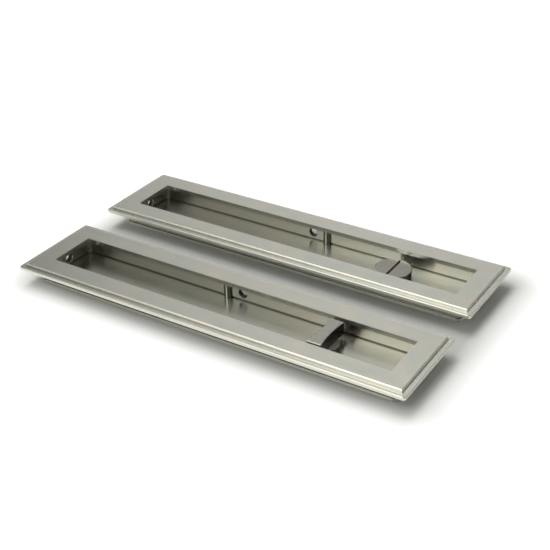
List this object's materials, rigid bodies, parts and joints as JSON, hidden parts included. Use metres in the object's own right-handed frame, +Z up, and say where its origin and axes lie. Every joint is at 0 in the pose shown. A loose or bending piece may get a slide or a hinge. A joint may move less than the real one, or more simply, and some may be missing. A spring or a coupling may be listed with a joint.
{
  "type": "rectangular flush pull privacy set",
  "caption": "Rectangular flush pulls with stepped rims and undercut finger recesses; a thumb turn and a slotted coin release work the lock of a sliding or pocket door.",
  "frame": {"origin": "on the surface that both pulls lie on, under the middle of the set's box", "axes": "+X along the length of the pulls, towards their spindle end; +Y from the inside pull to the outside pull; +Z up, out of the recesses"},
  "size_m": [0.252, 0.143, 0.0134],
  "materials": {
    "satin_steel": "satin, brushed along the length",
    "floor_steel": "satin, brushed along the length",
    "turn_steel": "satin",
    "screw_steel": "plain",
    "bush_brass": "turned",
    "washer_nylon": "moulded"
  },
  "bodies": {
    "pull_frames": {"inside_face_frame": "satin_steel", "inside_floor_plate": "floor_steel", "inside_floor_screws": "screw_steel", "inside_spindle_bush": "bush_brass", "inside_slip_washer": "washer_nylon", "outside_face_frame": "satin_steel", "outside_floor_plate": "floor_steel", "outside_floor_screws": "screw_steel", "outside_spindle_bush": "bush_brass", "outside_slip_washer": "washer_nylon"},
    "thumb_turn_body": {"thumb_turn": "turn_steel", "thumb_turn_grub_screw": "screw_steel"},
    "coin_release_body": {"coin_release": "turn_steel", "coin_release_grub_screw": "screw_steel"}
  },
  "joints": [
    {"name": "thumb_turn_hinge", "type": "hinge", "parent": "pull_frames", "child": "thumb_turn_body", "pos_m": [0.065, -0.0415, 0], "axis": [0, 0, 1], "range_deg": [0, 90]},
    {"name": "coin_release_hinge", "type": "hinge", "parent": "pull_frames", "child": "coin_release_body", "pos_m": [0.063, 0.0415, 0], "axis": [0, 0, 1], "range_deg": [-90, 0]}
  ]
}
